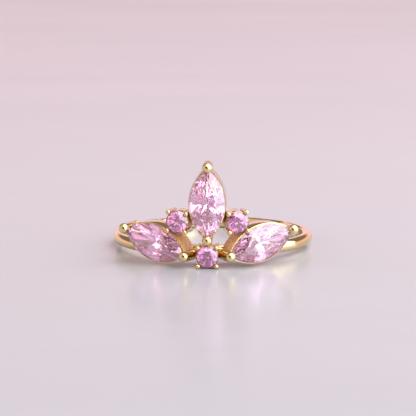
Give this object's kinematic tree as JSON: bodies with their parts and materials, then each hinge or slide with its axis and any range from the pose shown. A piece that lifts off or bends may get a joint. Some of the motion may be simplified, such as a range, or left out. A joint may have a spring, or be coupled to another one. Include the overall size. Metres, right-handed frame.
{
  "type": "cocktail ring",
  "caption": "Gold-coloured finger ring with a crown-shaped front cluster of pink marquise and round stones in prong settings.",
  "frame": {"origin": "centre of the finger hole, half way along the shank's width", "axes": "+Z along the finger hole, towards the point of the crown; -Y out of the front of the cluster, the way that the stones' tables face; +X to the right as the stones are seen from in front"},
  "size_m": [0.02, 0.0226, 0.0104],
  "materials": {
    "gold": "polished yellow gold plate",
    "marquise_pink": "polished facets, light pink",
    "round_pink": "polished facets, lilac pink"
  },
  "bodies": {
    "root": {"shank": "gold", "centre_marquise_stone": "marquise_pink", "centre_marquise_collet": "gold", "centre_marquise_inner_prong": "gold", "centre_marquise_outer_prong": "gold", "left_marquise_stone": "marquise_pink", "left_marquise_collet": "gold", "left_marquise_inner_prong": "gold", "left_marquise_outer_prong": "gold", "right_marquise_stone": "marquise_pink", "right_marquise_collet": "gold", "right_marquise_inner_prong": "gold", "right_marquise_outer_prong": "gold", "left_round_stone": "round_pink", "left_round_collet": "gold", "left_round_prong_upper_left": "gold", "left_round_prong_upper_right": "gold", "left_round_prong_lower_left": "gold", "left_round_prong_lower_right": "gold", "right_round_stone": "round_pink", "right_round_collet": "gold", "right_round_prong_upper_left": "gold", "right_round_prong_upper_right": "gold", "right_round_prong_lower_left": "gold", "right_round_prong_lower_right": "gold", "lower_round_stone": "round_pink", "lower_round_collet": "gold", "lower_round_prong_upper_left": "gold", "lower_round_prong_upper_right": "gold", "lower_round_prong_lower_left": "gold", "lower_round_prong_lower_right": "gold"}
  },
  "joints": []
}
